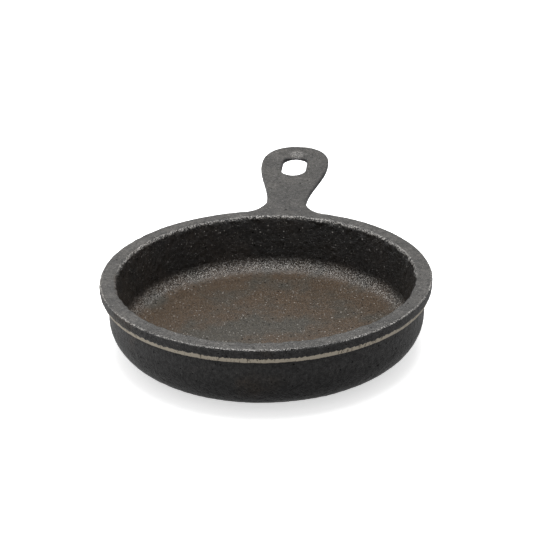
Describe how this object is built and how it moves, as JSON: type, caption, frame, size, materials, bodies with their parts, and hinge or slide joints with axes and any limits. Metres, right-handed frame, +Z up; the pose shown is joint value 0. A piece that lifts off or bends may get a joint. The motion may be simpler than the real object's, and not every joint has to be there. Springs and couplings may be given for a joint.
{
  "type": "cast iron skillet",
  "caption": "Small round cast iron skillet with upright walls, a thick collar rim with a bare ground band under it, and a flat flared tab handle with a hanging slot.",
  "frame": {"origin": "centre of the flat resting face under the bowl", "axes": "+Z up out of the bowl, +Y along the handle away from the bowl, +X to the right seen from the front of the bowl"},
  "size_m": [0.127, 0.1863, 0.0356],
  "materials": {
    "cooking_surface": "seasoned, sand-cast grain, mottled brown, satin",
    "outer_iron": "seasoned, sand-cast grain, near black, semi-matt",
    "rim_iron": "seasoned, worn smooth, warm mid grey, satin",
    "bare_iron": "ground bare metal, pale and dull, with grinding marks"
  },
  "bodies": {
    "root": {"pan_floor": "cooking_surface", "side_wall": "outer_iron", "rim_collar": "rim_iron", "ground_band": "bare_iron", "handle": "rim_iron"}
  },
  "joints": []
}
